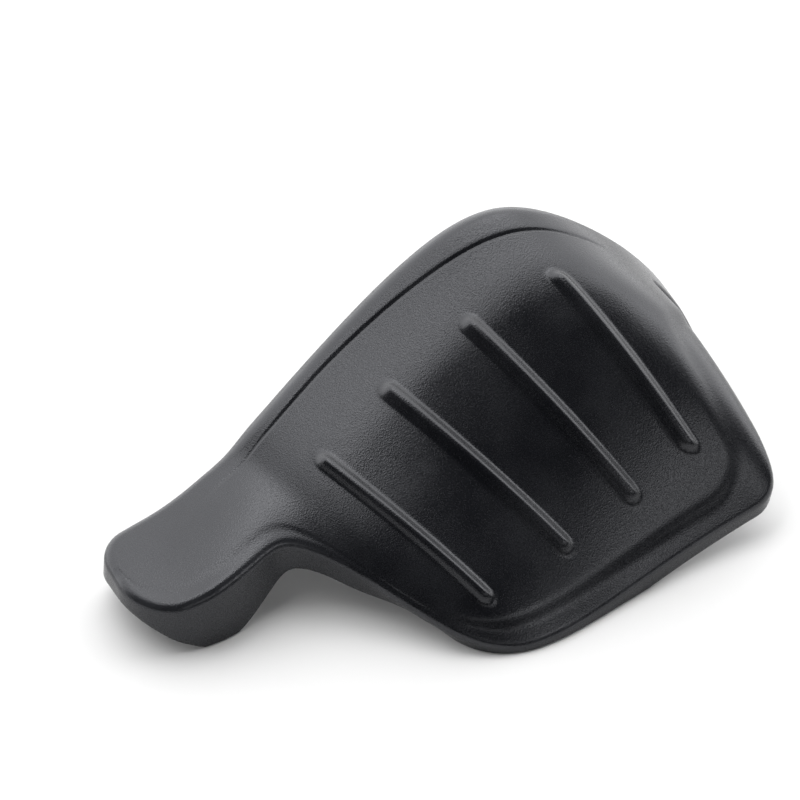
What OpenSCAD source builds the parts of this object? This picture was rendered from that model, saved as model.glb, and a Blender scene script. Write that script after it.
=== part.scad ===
// Motorcycle hand guard, right or left half of a pair: one injection moulding.
// It lies as it would on a table, outer face up (+Z). +X runs from the foot with the clip ring
// to the arm that bolts to the bar end, and -Y is the free edge of the wing.

/* [Overall size] */
// Length along the strip, from the end of the foot to the arm, mm
guard_length = 302; // [240:1:380]
// Width across the wing, mm
guard_width = 156; // [130:1:190]
// Height of the crown over the table, mm
guard_height = 104; // [85:1:130]
// Wall thickness of the moulding, mm
wall = 3; // [2.4:0.1:3.6]

/* [Edges] */
// Outer radius of the fold between face and flange, mm
fold_r = 8; // [6:0.5:9]
// Outer radius of the rolled edge along the wing, mm
lip_r = 5; // [4:0.5:6]
// Outer radius of the edges of the arm, mm
arm_edge_r = 3.6; // [3.6:0.1:4.5]
// Plan radius of the foot's corner towards the wing side, mm
foot_corner_r = 16; // [12:1:18]
// Plan radius of the foot's other corner, mm
foot_back_r = 9; // [8:1:12]
// Radius of the wing's outer corner, mm
wing_corner_r = 20; // [12:1:24]
// Radius of the inner end of the notch between wing and arm, mm
notch_r = 7.5; // [6:0.5:9]

/* [Face] */
// Width of the arm, mm
arm_w = 23; // [20:0.5:26]
// Width of the plain strip where it is widest, mm
strip_w = 19; // [16:0.5:19]
// How far the wing panel stands over the strip, mm
panel_rise = 2.2; // [0:0.1:3]
// How far the border of the wing lies under its panel, mm
border_drop = 1.6; // [0:0.1:2.5]
// Width of the border, mm
border_w = 14; // [10:1:20]

/* [Ribs] */
// Height of the ribs, mm
rib_rise = 3.4; // [0:0.1:4]
// Half width of a rib at its foot, mm
rib_half_w = 5.6; // [4:0.1:6.5]

/* [Clip ring] */
// Bore of the ring that snaps over the lever clamp's stud, mm
clip_bore_d = 14.5; // [12:0.1:16]
// Wall of the ring, mm
clip_wall = 3.2; // [2.5:0.1:4]
// Height of the ring over the inner face, mm
clip_h = 14; // [8:0.5:18]
// Thickness of the flat pad at the bottom of the ring, mm
clip_pad = 0.8; // [0.6:0.1:1.5]
// Slot between the legs, mm
clip_slot = 6.5; // [4:0.1:9]
// Length of the legs, mm
clip_leg = 10; // [6:0.5:14]

/* [Bar-end hole] */
// Hole for the bar-end screw, mm
screw_d = 8.4; // [6:0.1:10]
// Distance of the hole from the end of the arm, mm
screw_from_end = 14; // [12:0.5:18]

/* [Hidden] */

// Cross-sections of the face, from the foot's end to the arm's end. Each row holds the
// top edge x, y, z, the lower edge x, y, z, the fall of the face at both edges in degrees,
// the depths of both flanges and the sideways bow of the section.
stations = [
    [-169, -34,  26, -168,  -77, 23,  0,  2,  6,  4, 0], // end of the foot
    [-152, -33,  29, -155,  -83, 24,  0,  4, 24, 15, 0], // foot, over the clip ring
    [-134, -33,  33, -136,  -87, 27,  2, 10, 33, 31, 0],
    [-114, -30,  39, -111,  -83, 31,  4, 20, 37, 20, 0], // waist
    [-102, -27,  43,  -87,  -87, 29,  5, 30, 38, 11, 0], // throat
    [ -93, -24,  48,  -52, -145,  6,  6, 36, 38,  9, 2], // near corner of the wing
    [ -80, -21,  56,  -20, -160,  4,  8, 38, 39,  8, 4],
    [ -44, -11,  72,   18, -157,  5,  8, 42, 40,  8, 5],
    [   3,  -2,  92,   56, -153, 10,  8, 46, 38,  8, 5],
    [  50,  -7, 106,   86, -151, 15, 10, 48, 30,  8, 2], // crown
    [  95, -30,  78,  108, -146, 23, 10, 44,  6,  8, 0], // free edge of the wing
    [ 120, -35,  43,  114,  -95, 35,  8, 10,  6,  6, 0], // arm
    [ 128, -38,  22,  122,  -98, 20,  4,  4,  7,  7, 0],
    [ 133, -40,   3,  128, -100,  3,  0,  0,  7,  7, 0]  // end of the arm
];
wing_at = 10;                     // station of the wing's free edge
arm_at = len(stations) - 1;       // station of the arm's end
grow = [guard_length / 302, guard_width / 156, guard_height / 104];
sections = [for (s = stations)
    [s[0] * grow.x, s[1] * grow.y, s[2] * grow.z, s[3] * grow.x, s[4] * grow.y, s[5] * grow.z,
     s[6], s[7], s[8] * grow.z, s[9], s[10]]];

// Ribs: station, start and end across the section
ribs = [[5.80, 40, 127.5], [6.94, 41, 138.5], [7.85, 46, 144], [8.75, 48.5, 136.5]];

function top(s) = [s[0], s[1], s[2]];
function low(s) = [s[3], s[4], s[5]];
function unit(v) = v / norm(v);
function clamp(x, a, b) = max(a, min(b, x));
function ease(a, b, x) = let (t = clamp((x - a) / (b - a), 0, 1)) t * t * (3 - 2 * t);
function corner(x, r) = let (t = clamp(x / r, 0, 1)) r * (1 - sqrt(max(0, 1 - (1 - t) * (1 - t))));

// Smooth curve near the stations: a B-spline whose control rows are pushed out against its own
// rounding, so it keeps to them within a millimetre or two and has no kinks in its bend
function past(rows, i) = i < 0 ? 2 * rows[0] - rows[1]
    : i > arm_at ? 2 * rows[arm_at] - rows[arm_at - 1] : rows[i];
controls = [for (i = [0 : arm_at])
    sections[i] - (past(sections, i - 1) - 2 * sections[i] + past(sections, i + 1)) / 6];
function section(u) =
    let (i = clamp(floor(u), 0, arm_at - 1), t = u - i,
         a = past(controls, i - 1), b = past(controls, i),
         c = past(controls, i + 1), d = past(controls, i + 2))
    (pow(1 - t, 3) * a + (3 * pow(t, 3) - 6 * t * t + 4) * b
     + (1 + 3 * t + 3 * t * t - 3 * pow(t, 3)) * c + pow(t, 3) * d) / 6;

// Distances along both edges, in mm, at every station
function run(side, i) = i == 0 ? 0
    : run(side, i - 1) + norm(side == 0 ? top(sections[i]) - top(sections[i - 1])
                                        : low(sections[i]) - low(sections[i - 1]));
top_run = [for (i = [0 : arm_at]) [i, run(0, i)]];
low_run = [for (i = [0 : arm_at]) [i, run(1, i)]];
function top_mm(u) = lookup(u, top_run);
function low_mm(u) = lookup(u, low_run);
function at_top(mm) = lookup(mm, [for (p = top_run) [p[1], p[0]]]);
function at_low(mm) = lookup(mm, [for (p = low_run) [p[1], p[0]]]);

// Point of the plain face on section s, d mm from its top edge
function across(s, d) =
    let (a = top(s), b = low(s), chord = norm(b - a), flat = norm([b.x - a.x, b.y - a.y]),
         dir = [(b.x - a.x) / flat, (b.y - a.y) / flat], reach = 0.36 * chord, t = d / chord,
         p = a + reach * [dir.x * cos(s[6]), dir.y * cos(s[6]), -sin(s[6])],
         q = b - reach * [dir.x * cos(s[7]), dir.y * cos(s[7]), -sin(s[7])])
    a * pow(1 - t, 3) + 3 * p * t * pow(1 - t, 2) + 3 * q * t * t * (1 - t) + b * pow(t, 3)
        - [4 * s[10] * t * (1 - t), 0, 0];

// Rise of the face over the plain one: step of the strip, border of the wing and ribs
function strip_at(u) = strip_w - 8 + 8 * ease(6.5, 9, u);
function step_down(u, d) = panel_rise * ease(4.6, 7.5, u)
    * (1 - ease(strip_at(u) - 1.3, strip_at(u) + 1.3, d) * (1 - ease(wing_at - 0.05, wing_at + 0.3, u)));
function border_down(u, d, chord) =
    let (t = d / chord, soft = 18,
         right = (1 - t) * (top_mm(wing_at) - top_mm(u)) + t * (low_mm(wing_at) - low_mm(u)),
         a = max(0, soft - (chord - d - border_w)), b = max(0, soft - (right - border_w)) * ease(25, 70, d))
    u > wing_at ? 0 : border_drop * (1 - ease(-4, 4, soft - norm([a, b]))) * ease(4.9, 5.7, u);
function rib_up(u, d, rib) =
    let (mm = (top_mm(rib[0] + 0.5) - top_mm(rib[0] - 0.5)) * (1 - d / 165)
             + (low_mm(rib[0] + 0.5) - low_mm(rib[0] - 0.5)) * d / 165,
         side = (u - rib[0]) * mm, past = max(0, rib[1] - d, d - rib[2]),
         r = clamp(norm([side, past]) / rib_half_w, 0, 1))
    rib_rise * pow(0.5 + 0.5 * cos(180 * r), 0.75);
function rise(u, d, chord) =
    let (near_ribs = [for (rib = ribs) if (abs(u - rib[0]) < 0.4) rib_up(u, d, rib)])
    (len(near_ribs) > 0 ? max(near_ribs) : 0) - step_down(u, d) - border_down(u, d, chord);

// Columns of the face, from the foot to the arm
rib_offsets = [-1.05, -0.7, -0.35, 0, 0.35, 0.7, 1.05];
function rib_columns(rib) =
    let (mm = (top_mm(rib[0] + 0.5) - top_mm(rib[0] - 0.5)) / 2
            + (low_mm(rib[0] + 0.5) - low_mm(rib[0] - 0.5)) / 2)
    [for (f = rib_offsets) rib[0] + f * rib_half_w / mm];
function between(a, b, n) = [for (i = [1 : n]) a + (b - a) * i / (n + 1)];
foot_columns = [for (a = [0 : 15 : 90]) at_low(fold_r + foot_corner_r * (1 - cos(a)))];
foot_done = foot_columns[len(foot_columns) - 1];
r0 = rib_columns(ribs[0]);
r1 = rib_columns(ribs[1]);
r2 = rib_columns(ribs[2]);
r3 = rib_columns(ribs[3]);
corner_columns = [for (a = [90 : -18 : 0]) at_low(low_mm(wing_at) - wing_corner_r * (1 - cos(a)))];
last_rib = len(rib_offsets) - 1;
wing_columns = concat(
    foot_columns, between(foot_done, 4, 5), [4, 4.35, 4.7, 5, 5.25], between(5.25, r0[0], 1),
    r0, between(r0[last_rib], r1[0], 2), r1, between(r1[last_rib], r2[0], 2), r2,
    between(r2[last_rib], r3[0], 2), r3, between(r3[last_rib], corner_columns[0], 1), corner_columns);
arm_start = top_mm(wing_at);
arm_stop = top_mm(arm_at) - arm_edge_r;
arm_end_r = arm_w / 2 - arm_edge_r - 0.4;
arm_columns = concat(
    [for (a = [30 : 30 : 90]) at_top(arm_start + notch_r * (1 - cos(a)))],
    [for (i = [1 : 7]) at_top(arm_start + notch_r + (arm_stop - arm_end_r - arm_start - notch_r) * i / 8)],
    [for (a = [90 : -30 : 0]) at_top(arm_stop - arm_end_r * (1 - cos(a)))]);
columns = concat(wing_columns, arm_columns);
last_wing = len(wing_columns) - 1;
last_column = len(columns) - 1;

// Rows of the face: the first rows carry the strip, the arm has only these
strip_rows = 8;
panel_rows = 22;
last_row = strip_rows + panel_rows;
function top_r(u) = u < 9 ? fold_r : max(arm_edge_r, fold_r + (arm_edge_r - fold_r) * (u - 9));
function low_r(u) = lookup(u, [[0, fold_r], [5, fold_r], [7, lip_r], [wing_at, lip_r]]);
notch_d = arm_w - arm_edge_r + notch_r;
function wing_rows(u, chord) =
    let (from_end = top_mm(u) - top_mm(columns[0]), from_low = low_mm(u) - fold_r,
         first = top_r(u) + corner(from_end, foot_back_r),
         last = chord - low_r(u) - corner(from_low, foot_corner_r)
              - corner(low_mm(wing_at) - low_mm(u), wing_corner_r),
         w = strip_at(u), room = min(1, 0.5 * (last - first) / (notch_d - first)),
         plan = [first, (first + w - 2) / 2, w - 2, w - 0.7, w + 0.7, w + 2,
                 (w + 2) * 2 / 3 + notch_d / 3, (w + 2) / 3 + notch_d * 2 / 3, notch_d],
         even = ease(1.5, 3.5, u),
         strip = [for (j = [0 : strip_rows])
             first + room * ((plan[j] - first) * even + (notch_d - first) * j / strip_rows * (1 - even))],
         turn = strip[strip_rows])
    concat(strip, [for (i = [1 : panel_rows]) turn + (last - turn) * i / panel_rows]);
edge_rows = wing_rows(wing_at, norm(low(sections[wing_at]) - top(sections[wing_at])));
function arm_rows(u) =
    let (x = top_mm(u), cut = corner(arm_stop - x, arm_end_r), first = arm_edge_r + cut,
         last = arm_w - arm_edge_r + corner(x - arm_start, notch_r) - cut, k = ease(0, 25, x - arm_start))
    [for (j = [0 : strip_rows])
        let (f = (edge_rows[j] - edge_rows[0]) / (edge_rows[strip_rows] - edge_rows[0]))
        first + (last - first) * (f * (1 - k) + j / strip_rows * k)];
rows = [for (i = [0 : last_column])
    let (s = section(columns[i]))
    i <= last_wing ? wing_rows(columns[i], norm(low(s) - top(s))) : arm_rows(columns[i])];

// Normals of the plain face and the points of the finished outer face
function face_normal(before, after, s, d) =
    unit(cross(across(s, d + 0.5) - across(s, d - 0.5), across(after, d) - across(before, d)));
function normal_at(u, d) = face_normal(section(u - 0.02), section(u + 0.02), section(u), d);
face = [for (i = [0 : last_column])
    let (u = columns[i], s = section(u), before = section(u - 0.02), after = section(u + 0.02),
         chord = norm(low(s) - top(s)))
    [for (d = rows[i])
        let (n = face_normal(before, after, s, d))
        [across(s, d) + n * rise(u, d, chord), n]]];

// Edge loop of the face: along the top, round the arm, through the notch, round the wing and the foot
edge = concat(
    [for (i = [0 : last_column]) [i, 0]],
    [for (j = [1 : strip_rows]) [last_column, j]],
    [for (i = [last_column - 1 : -1 : last_wing]) [i, strip_rows]],
    [for (j = [strip_rows + 1 : last_row]) [last_wing, j]],
    [for (i = [last_wing - 1 : -1 : 0]) [i, last_row]],
    [for (j = [last_row - 1 : -1 : 1]) [0, j]]);
around = len(edge);
function edge_point(k) = face[edge[k % around][0]][edge[k % around][1]];

draft = tan(6);                   // the flanges spread by this towards the rim
// At each edge point: outward direction, normal, radius of the fold, its turn and the flange's run
edge_data = [for (k = [0 : around - 1])
    let (i = edge[k][0], j = edge[k][1], u = columns[i], s = section(u),
         p = edge_point(k)[0], n0 = edge_point(k)[1],
         back = p - edge_point(k + around - 1)[0], on = edge_point(k + 1)[0] - p,
         along = unit(back * pow(norm(on), 2) + on * pow(norm(back), 2)),
         out = unit(cross(n0, along)), n = cross(along, out),
         share = ease(0, 1, rows[i][j] / norm(low(s) - top(s))),
         r = u >= wing_at ? (i > last_wing || j <= strip_rows ? arm_edge_r
                             : arm_edge_r + (lip_r - arm_edge_r) * ease(notch_d, notch_d + 20, rows[i][j]))
             : top_r(u) * (1 - share) + low_r(u) * share,
         depth = s[8] * (1 - share) + s[9] * share,
         upright = ease(0.35, 0.75, n.z) * (1 - ease(wing_at - 0.8, wing_at, u)),
         pull = unit((unit([out.x, out.y, 0]) * draft - [0, 0, 1]) * upright - n * (1 - upright)),
         inward = unit(pull - (pull * along) * along),
         turn = acos(clamp(out * inward, -1, 1)),
         fold_end = p - n * r + r * (sin(turn) * out + cos(turn) * n),
         to_table = pull.z < -0.5 ? fold_end.z / -pull.z : guard_height)
    [p, out, n, r, turn, pull, max(1, min(depth - r * tan(turn / 2), to_table))]];

// Rings of points that carry the face over the fold and down the flange to the rim
fold_steps = 3;
function ring_point(e, step, off) =
    let (a = e[4] * min(step, fold_steps) / fold_steps, centre = e[0] - e[2] * e[3],
         p = centre + (e[3] + off) * (sin(a) * e[1] + cos(a) * e[2]))
    step <= fold_steps ? p : p + e[5] * e[6];
function ring(off) = [for (step = [1 : fold_steps + 1], e = edge_data) ring_point(e, step, off)];
function is_edge(i, j) = j == 0 || i == 0 || i == last_column || (i <= last_wing && j == last_row)
    || (i == last_wing && j >= strip_rows) || (i >= last_wing && j == strip_rows);
edge_normals = [for (e = edge_data) e[2]];
function edge_index(i, j) = search([[i, j]], edge)[0];
function skin(off) = [for (i = [0 : last_column], j = [0 : len(rows[i]) - 1])
    let (n = is_edge(i, j) ? edge_normals[edge_index(i, j)] : face[i][j][1])
    face[i][j][0] + off * n];

// Numbering of the points: a skin of the face, then its rings, first outside and then inside
function starts(i) = i <= last_wing + 1 ? i * (last_row + 1)
    : (last_wing + 1) * (last_row + 1) + (i - last_wing - 1) * (strip_rows + 1);
skin_count = starts(last_column + 1);
side_count = skin_count + around * (fold_steps + 1);
function on_skin(side, i, j) = side * side_count + starts(i) + j;
function on_ring(side, step, k) = step == 0 ? on_skin(side, edge[k % around][0], edge[k % around][1])
    : side * side_count + skin_count + (step - 1) * around + k % around;

face_cells = [for (i = [0 : last_column - 1], j = [0 : (i < last_wing ? last_row : strip_rows) - 1]) [i, j]];
function turned(side, f) = side == 1 ? f : [f[3], f[2], f[1], f[0]];
shell_faces = concat(
    [for (side = [0, 1], c = face_cells) let (i = c[0], j = c[1])
        turned(side, [on_skin(side, i, j), on_skin(side, i, j + 1),
                      on_skin(side, i + 1, j + 1), on_skin(side, i + 1, j)])],
    [for (side = [0, 1], step = [0 : fold_steps], k = [0 : around - 1])
        turned(side, [on_ring(side, step, k), on_ring(side, step, k + 1),
                      on_ring(side, step + 1, k + 1), on_ring(side, step + 1, k)])],
    [for (k = [0 : around - 1])
        let (rim = fold_steps + 1)
        [on_ring(1, rim, k), on_ring(1, rim, k + 1), on_ring(0, rim, k + 1), on_ring(0, rim, k)]]);

shell_points = concat(skin(0), ring(0), skin(-wall), ring(-wall));
module shell() {
    polyhedron(points = shell_points, faces = shell_faces, convexity = 12);
}

// Puts a piece at a seat on the face, with its Z square to the face and its X level
module place(seat, axis) {
    level = unit([axis.z, 0, -axis.x]);
    side = cross(axis, level);
    multmatrix([[level.x, side.x, axis.x, seat.x],
                [level.y, side.y, axis.y, seat.y],
                [level.z, side.z, axis.z, seat.z]])
        children();
}

// Ring that snaps over the stud of the lever clamp: square to the inner face of the foot, and open
// towards the foot's lower side between two legs. Its bore ends on a flat pad over the curved wall
clip_station = 1.35;
clip_across = 24;
clip_seat = across(section(clip_station), clip_across);
clip_axis = normal_at(clip_station, clip_across);
clip_r = clip_bore_d / 2;
clip_bore_h = clip_h - wall / 2 - clip_pad;
module clip_ring() {
    place(clip_seat, clip_axis)
        translate([0, 0, -wall / 2 - clip_h])
            difference() {
                union() {
                    cylinder(r = clip_r + clip_wall, h = clip_h, $fn = 64);
                    translate([-clip_slot / 2 - clip_wall, -clip_r - clip_leg, 0])
                        cube([clip_slot + 2 * clip_wall, clip_leg + clip_r, clip_h]);
                }
                translate([0, 0, -1])
                    cylinder(r = clip_r, h = clip_bore_h + 1, $fn = 64);
                translate([-clip_slot / 2, -clip_r - clip_leg - 1, -1])
                    cube([clip_slot, clip_leg + clip_r + 1, clip_bore_h + 1]);
            }
}

// Through hole for the bar-end screw, square to the face of the arm
screw_station = at_top(top_mm(arm_at) - screw_from_end);
screw_axis = normal_at(screw_station, arm_w / 2);
screw_seat = across(section(screw_station), arm_w / 2) + screw_axis * rise(screw_station, arm_w / 2, 60);
module bar_end_hole() {
    place(screw_seat, screw_axis)
        translate([0, 0, -3 * wall])
            cylinder(d = screw_d, h = 5 * wall, $fn = 48);
}

// The guard's own origin: the middle of its outline, level with the table
function middle(k) = (min([for (p = shell_points) p[k]]) + max([for (p = shell_points) p[k]])) / 2;
origin = [middle(0), middle(1), min([for (p = shell_points) p.z])];

module guard_shell() {
    color([0.06, 0.062, 0.068])
        translate(-origin)
            difference() {
                union() {
                    shell();
                    clip_ring();
                }
                bar_end_hole();
            }
}

guard_shell();
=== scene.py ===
# %% [markdown]
# # A moulded motorcycle hand guard
#
# The guard is one black plastic moulding. A wide, domed wing keeps wind and branches off the
# rider's hand, a narrow foot clips onto the lever clamp, and a short arm is screwed to the bar
# end. It lies on a table as in the photograph, outer face up.
#
# The CAD model already has the right sizes. It is loaded first, as a frame that is never
# changed, and everything that follows is fitted to it. Its box is kept, and at the end the
# finished skin is moved into it.

# %% Load the frame
import math

import bpy
import numpy as np
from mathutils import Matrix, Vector


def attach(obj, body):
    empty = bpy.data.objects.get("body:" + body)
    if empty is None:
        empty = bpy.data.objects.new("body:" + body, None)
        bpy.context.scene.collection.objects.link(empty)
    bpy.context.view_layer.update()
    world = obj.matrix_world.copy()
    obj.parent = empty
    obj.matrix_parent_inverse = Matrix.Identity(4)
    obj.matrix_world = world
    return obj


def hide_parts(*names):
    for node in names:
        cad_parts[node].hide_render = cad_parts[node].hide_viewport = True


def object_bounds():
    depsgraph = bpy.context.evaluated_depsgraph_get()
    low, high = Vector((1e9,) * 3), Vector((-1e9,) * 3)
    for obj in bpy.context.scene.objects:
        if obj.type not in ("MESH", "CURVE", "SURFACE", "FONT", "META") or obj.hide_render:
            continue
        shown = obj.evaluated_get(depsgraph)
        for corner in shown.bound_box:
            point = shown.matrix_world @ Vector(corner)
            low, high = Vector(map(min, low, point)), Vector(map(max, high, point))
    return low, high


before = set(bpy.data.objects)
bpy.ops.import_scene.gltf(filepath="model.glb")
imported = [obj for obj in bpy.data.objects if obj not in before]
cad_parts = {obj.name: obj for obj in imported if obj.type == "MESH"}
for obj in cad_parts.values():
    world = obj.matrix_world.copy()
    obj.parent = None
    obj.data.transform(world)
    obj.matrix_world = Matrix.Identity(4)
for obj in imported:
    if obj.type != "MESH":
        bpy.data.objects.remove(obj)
cad_low, cad_high = [np.array(corner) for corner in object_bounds()]
print("CAD box in mm:", np.round((cad_high - cad_low) * 1000, 1))

# %% [markdown]
# ## The shape in numbers
#
# The real guard could be sculpted by hand, but then nothing would keep it true to the CAD
# model. So the face is lofted, as a boat's hull is: 14 cross-sections stand along its length,
# and a smooth curve runs through each of their values. All sizes are in millimetres, and turn
# into Blender's metres only when a mesh is made.
#
# A place on the face has two numbers. One is the station, which counts the cross-sections from
# the foot's end, 0, to the arm's end, 13. The other is the distance across from the top edge.

# %% The cross-sections
MM = 0.001
WALL = 3.0

# Top edge x, y, z, lower edge x, y, z, fall of the face at both edges in degrees, depths of
# both flanges, and the sideways bow of the section
STATIONS = np.array([
    [-169, -34,  26, -168,  -77, 23,  0,  2,  6,  4, 0],
    [-152, -33,  29, -155,  -83, 24,  0,  4, 24, 15, 0],
    [-134, -33,  33, -136,  -87, 27,  2, 10, 33, 31, 0],
    [-114, -30,  39, -111,  -83, 31,  4, 20, 37, 20, 0],
    [-102, -27,  43,  -87,  -87, 29,  5, 30, 38, 11, 0],
    [ -93, -24,  48,  -52, -145,  6,  6, 36, 38,  9, 2],
    [ -80, -21,  56,  -20, -160,  4,  8, 38, 39,  8, 4],
    [ -44, -11,  72,   18, -157,  5,  8, 42, 40,  8, 5],
    [   3,  -2,  92,   56, -153, 10,  8, 46, 38,  8, 5],
    [  50,  -7, 106,   86, -151, 15, 10, 48, 30,  8, 2],
    [  95, -30,  78,  108, -146, 23, 10, 44,  6,  8, 0],
    [ 120, -35,  43,  114,  -95, 35,  8, 10,  6,  6, 0],
    [ 128, -38,  22,  122,  -98, 20,  4,  4,  7,  7, 0],
    [ 133, -40,   3,  128, -100,  3,  0,  0,  7,  7, 0],
], dtype=float)

# The stations at which the wing and the arm end
WING_AT = 10
ARM_AT = len(STATIONS) - 1
print(len(STATIONS), "cross-sections, the wing ends at number", WING_AT)

# %% [markdown]
# ## The smooth curves
#
# A Catmull-Rom curve would go through every station, but its curvature jumps there, and a glossy
# face shows each jump as a crease. A cubic B-spline has no such jumps. It cuts its corners a
# little, so each station is first pushed out by a sixth of its second difference. Each
# cross-section is a cubic curve from the top edge to the lower one, which leaves both edges at
# the angle that the table gives.

# %% Curves through the stations
def with_ends(rows):
    """One more row at either end, in line with the last two."""
    return np.vstack([2 * rows[0] - rows[1], rows, 2 * rows[-1] - rows[-2]])


PADDED = with_ends(STATIONS)
CONTROLS = with_ends(STATIONS - (PADDED[:-2] - 2 * STATIONS + PADDED[2:]) / 6)


def section(u):
    """Values at station u: a sixth of (1-t)^3 a + (3t^3-6t^2+4) b + (1+3t+3t^2-3t^3) c + t^3 d."""
    u = np.asarray(u, dtype=float)
    i = np.clip(np.floor(u).astype(int), 0, ARM_AT - 1)
    t = (u - i)[..., None]
    a, b, c, d = CONTROLS[i], CONTROLS[i + 1], CONTROLS[i + 2], CONTROLS[i + 3]
    return ((1 - t)**3 * a + (3 * t**3 - 6 * t**2 + 4) * b
            + (1 + 3 * t + 3 * t**2 - 3 * t**3) * c + t**3 * d) / 6


NUMBERS = np.arange(len(STATIONS))
edge_miss = np.abs(section(NUMBERS) - STATIONS)[1:-1, 0:6].max()
print("the smooth edges pass their points within %.1f mm" % edge_miss)


# %% Lengths along both edges
def running_length(points):
    """Distance along a row of points, starting at 0."""
    return np.concatenate([[0], np.cumsum(np.linalg.norm(np.diff(points, axis=0), axis=1))])


TOP_RUN = running_length(STATIONS[:, 0:3])
LOW_RUN = running_length(STATIONS[:, 3:6])


def top_mm(u):
    """Millimetres along the top edge at station u, in a straight line from station to station."""
    return np.interp(u, NUMBERS, TOP_RUN)


def low_mm(u):
    """The same along the lower edge."""
    return np.interp(u, NUMBERS, LOW_RUN)


def at_top(mm):
    """Station at a length along the top edge."""
    return np.interp(mm, TOP_RUN, NUMBERS)


def at_low(mm):
    """The same along the lower edge."""
    return np.interp(mm, LOW_RUN, NUMBERS)


print("top edge %.0f mm long, lower edge %.0f mm" % (TOP_RUN[-1], LOW_RUN[-1]))


# %% Four small helpers
def ease(a, b, x):
    """0 before a, 1 after b, and 3t^2 - 2t^3 between them."""
    t = np.clip((np.asarray(x, dtype=float) - a) / (b - a), 0, 1)
    return t * t * (3 - 2 * t)


def corner(x, r):
    """How far a rounded corner of radius r cuts in, x mm after its start."""
    t = np.clip(np.asarray(x, dtype=float) / r, 0, 1)
    return r * (1 - np.sqrt(np.maximum(0, 1 - (1 - t) ** 2)))


def unit(v):
    """Each vector divided by its length."""
    return v / np.linalg.norm(v, axis=-1, keepdims=True)


def dot(a, b):
    """Dot product of each pair of vectors."""
    return np.sum(a * b, axis=-1, keepdims=True)


# %% A point of the plain face
EDGE_REACH = 0.36
TINY_MM, TINY_STATION = 0.5, 0.02


def across(s, d):
    """Point d mm from the top edge of section s: a cubic Bezier curve a (1-t)^3 + 3 p t (1-t)^2 +
    3 q t^2 (1-t) + b t^3, whose inner points p and q lie on the slopes at both edges."""
    a, b = s[..., 0:3], s[..., 3:6]
    flat = b[..., 0:2] - a[..., 0:2]
    chord = np.linalg.norm(b - a, axis=-1)
    heading = flat / np.linalg.norm(flat, axis=-1, keepdims=True)
    reach = (EDGE_REACH * chord)[..., None]
    t = (d / chord)[..., None]

    def slope(column):
        """Direction of the face at an edge: its level heading, turned down by the angle."""
        angle = np.radians(s[..., column])[..., None]
        return np.concatenate([heading * np.cos(angle), -np.sin(angle)], axis=-1)

    p, q = a + reach * slope(6), b - reach * slope(7)
    bow = 4 * s[..., 10:11] * t * (1 - t) * np.array([1.0, 0, 0])
    return a * (1 - t)**3 + 3 * p * t * (1 - t)**2 + 3 * q * t**2 * (1 - t) + b * t**3 - bow


def face_normal(u, d):
    """Outward direction of the plain face: cross product of its two tangents."""
    s = section(u)
    down = across(s, d + TINY_MM) - across(s, d - TINY_MM)
    along = across(section(u + TINY_STATION), d) - across(section(u - TINY_STATION), d)
    return unit(np.cross(down, along))


widest = max(np.linalg.norm(row[3:6] - row[0:3]) for row in STATIONS)
print("the widest section is %.0f mm wide" % widest)

# %% [markdown]
# ## Relief of the face
#
# Five things stand out of the plain face or sink into it. A strip along the top edge lies a
# little lower, and the panel of the wing rises out of it. A fine groove draws the line between
# the two. A border runs round the wing's free edges, four ribs stiffen the panel, and a shallow
# hollow leaves a soft bead along the foot's fold. They could be modelled as separate cuts, but
# here each is a height over the plain face. So they add up, and the wall keeps its thickness
# because the inner side gets the same height.

# %% Folds and strip
FOLD_R, FOOT_FOLD_R, LIP_R, ARM_EDGE_R = 8.0, 4.5, 5.0, 3.6
STRIP_W, STRIP_FOOT_W, PANEL_RISE, PANEL_RUN = 19.0, 11.0, 2.2, 40.0
STRIP_WIDENS, STRIP_SINKS, PANEL_ENDS = (6.5, 9), (4.6, 7.5), (WING_AT - 0.05, WING_AT + 0.3)


def fold_radius(u):
    """Radius of the top fold, which is tighter on the foot and on the arm."""
    return np.interp(u, [0, 3, 6, 9, WING_AT], [FOOT_FOLD_R, FOOT_FOLD_R, FOLD_R, FOLD_R, ARM_EDGE_R])


def lip_radius(u):
    """Radius of the lower fold."""
    return np.interp(u, [0, 5, 7, WING_AT], [FOOT_FOLD_R, FOOT_FOLD_R, LIP_R, LIP_R])


def strip_at(u):
    """Width of the strip, from the foot's to the crown's."""
    return STRIP_FOOT_W + (STRIP_W - STRIP_FOOT_W) * ease(*STRIP_WIDENS, u)


def step_down(u, d):
    """How far the strip lies under the plain face. The panel eases up to it over PANEL_RUN."""
    w = strip_at(u)
    beyond = ease(w, w + PANEL_RUN, d) * (1 - ease(*PANEL_ENDS, u))
    return PANEL_RISE * ease(*STRIP_SINKS, u) * (1 - beyond)


print("strip %.0f to %.0f mm wide, %.1f mm deep" % (STRIP_FOOT_W, STRIP_W, PANEL_RISE))

# %% Groove and border
GROOVE_DEPTH, GROOVE_FOOT_W, GROOVE_CROWN_W, GROOVE_RETURN = 0.5, 1.0, 2.4, 0.8
GROOVE_STARTS, GROOVE_WIDENS, GROOVE_SINKS, GROOVE_ENDS = (2.2, 3.6), (3.5, 7.5), (4, 7.5), (9.2, 9.8)
BORDER_DROP, BORDER_W, BORDER_SIDE_W, BORDER_CORNER_R, BORDER_SLOPE = 1.6, 14.0, 22.0, 18.0, 8.0
BORDER_STARTS, SIDE_STARTS = (4.9, 5.7), (15, 85)


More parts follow.
